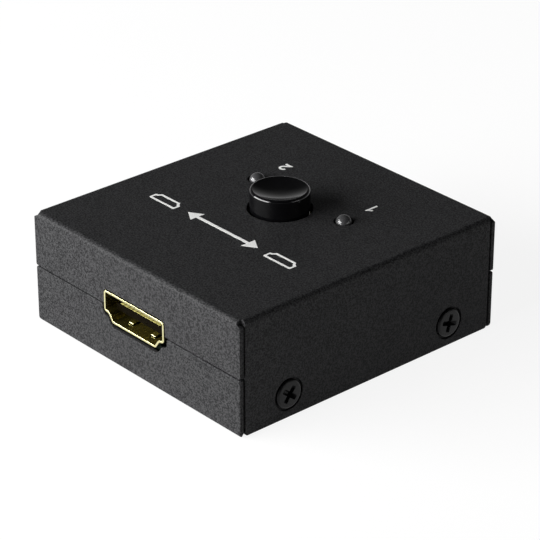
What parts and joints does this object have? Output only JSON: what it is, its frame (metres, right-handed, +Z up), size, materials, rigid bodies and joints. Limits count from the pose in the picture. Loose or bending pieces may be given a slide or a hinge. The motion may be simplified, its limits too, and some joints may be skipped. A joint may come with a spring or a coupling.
{
  "type": "video switch box",
  "caption": "Low square black sheet-metal box that switches digital video between sockets on opposite ends, with a round push button and indicator lamps on top.",
  "frame": {"origin": "middle of the underside", "axes": "+Z up, -Y out of the single socket, +Y out of the pair of sockets, +X towards the side of socket 1"},
  "size_m": [0.0516, 0.055, 0.0237],
  "materials": {
    "case_coat": "fine textured powder coat",
    "black_screw": "black oxide",
    "board_laminate": "solder mask",
    "zinc_steel": "zinc plated",
    "gold_plate": "gold plated, polished",
    "contact_gold": "gold plated",
    "black_moulding": "moulded",
    "cap_gloss": "polished mould",
    "white_moulding": "moulded",
    "bridge_brass": "rolled",
    "spring_steel": "drawn wire",
    "tinned_lead": "tin plated",
    "lamp_epoxy": "clear cast epoxy",
    "chip_moulding": "transfer moulded",
    "resistor_glaze": "glazed",
    "capacitor_ceramic": "fired"
  },
  "bodies": {
    "case": {"top_cover": "case_coat", "bottom_shell": "case_coat", "cover_screws": "black_screw", "circuit_board": "board_laminate", "board_standoffs": "zinc_steel", "board_screws": "zinc_steel", "common_shell": "gold_plate", "common_insulator": "black_moulding", "common_contacts": "contact_gold", "port_1_shell": "gold_plate", "port_1_insulator": "black_moulding", "port_1_contacts": "contact_gold", "port_2_shell": "gold_plate", "port_2_insulator": "black_moulding", "port_2_contacts": "contact_gold", "switch_spring": "spring_steel", "switch_housing": "black_moulding", "switch_frame": "zinc_steel", "switch_terminals": "tinned_lead", "led_1": "lamp_epoxy", "led_2": "lamp_epoxy", "led_leads": "tinned_lead", "led_spacers": "white_moulding", "switch_ic": "chip_moulding", "controller_ic": "chip_moulding", "ic_leads": "tinned_lead", "chip_resistors": "resistor_glaze", "chip_capacitors": "capacitor_ceramic"},
    "button": {"button_cap": "cap_gloss", "switch_plunger": "white_moulding", "contact_bridge": "bridge_brass"}
  },
  "joints": [
    {"name": "button_press", "type": "slide", "parent": "case", "child": "button", "axis": [0, 0, -1], "range_m": [0, 0.0018], "stiffness_N_per_m": 600, "springref_m": -0.001, "deforming": ["switch_spring"]}
  ]
}
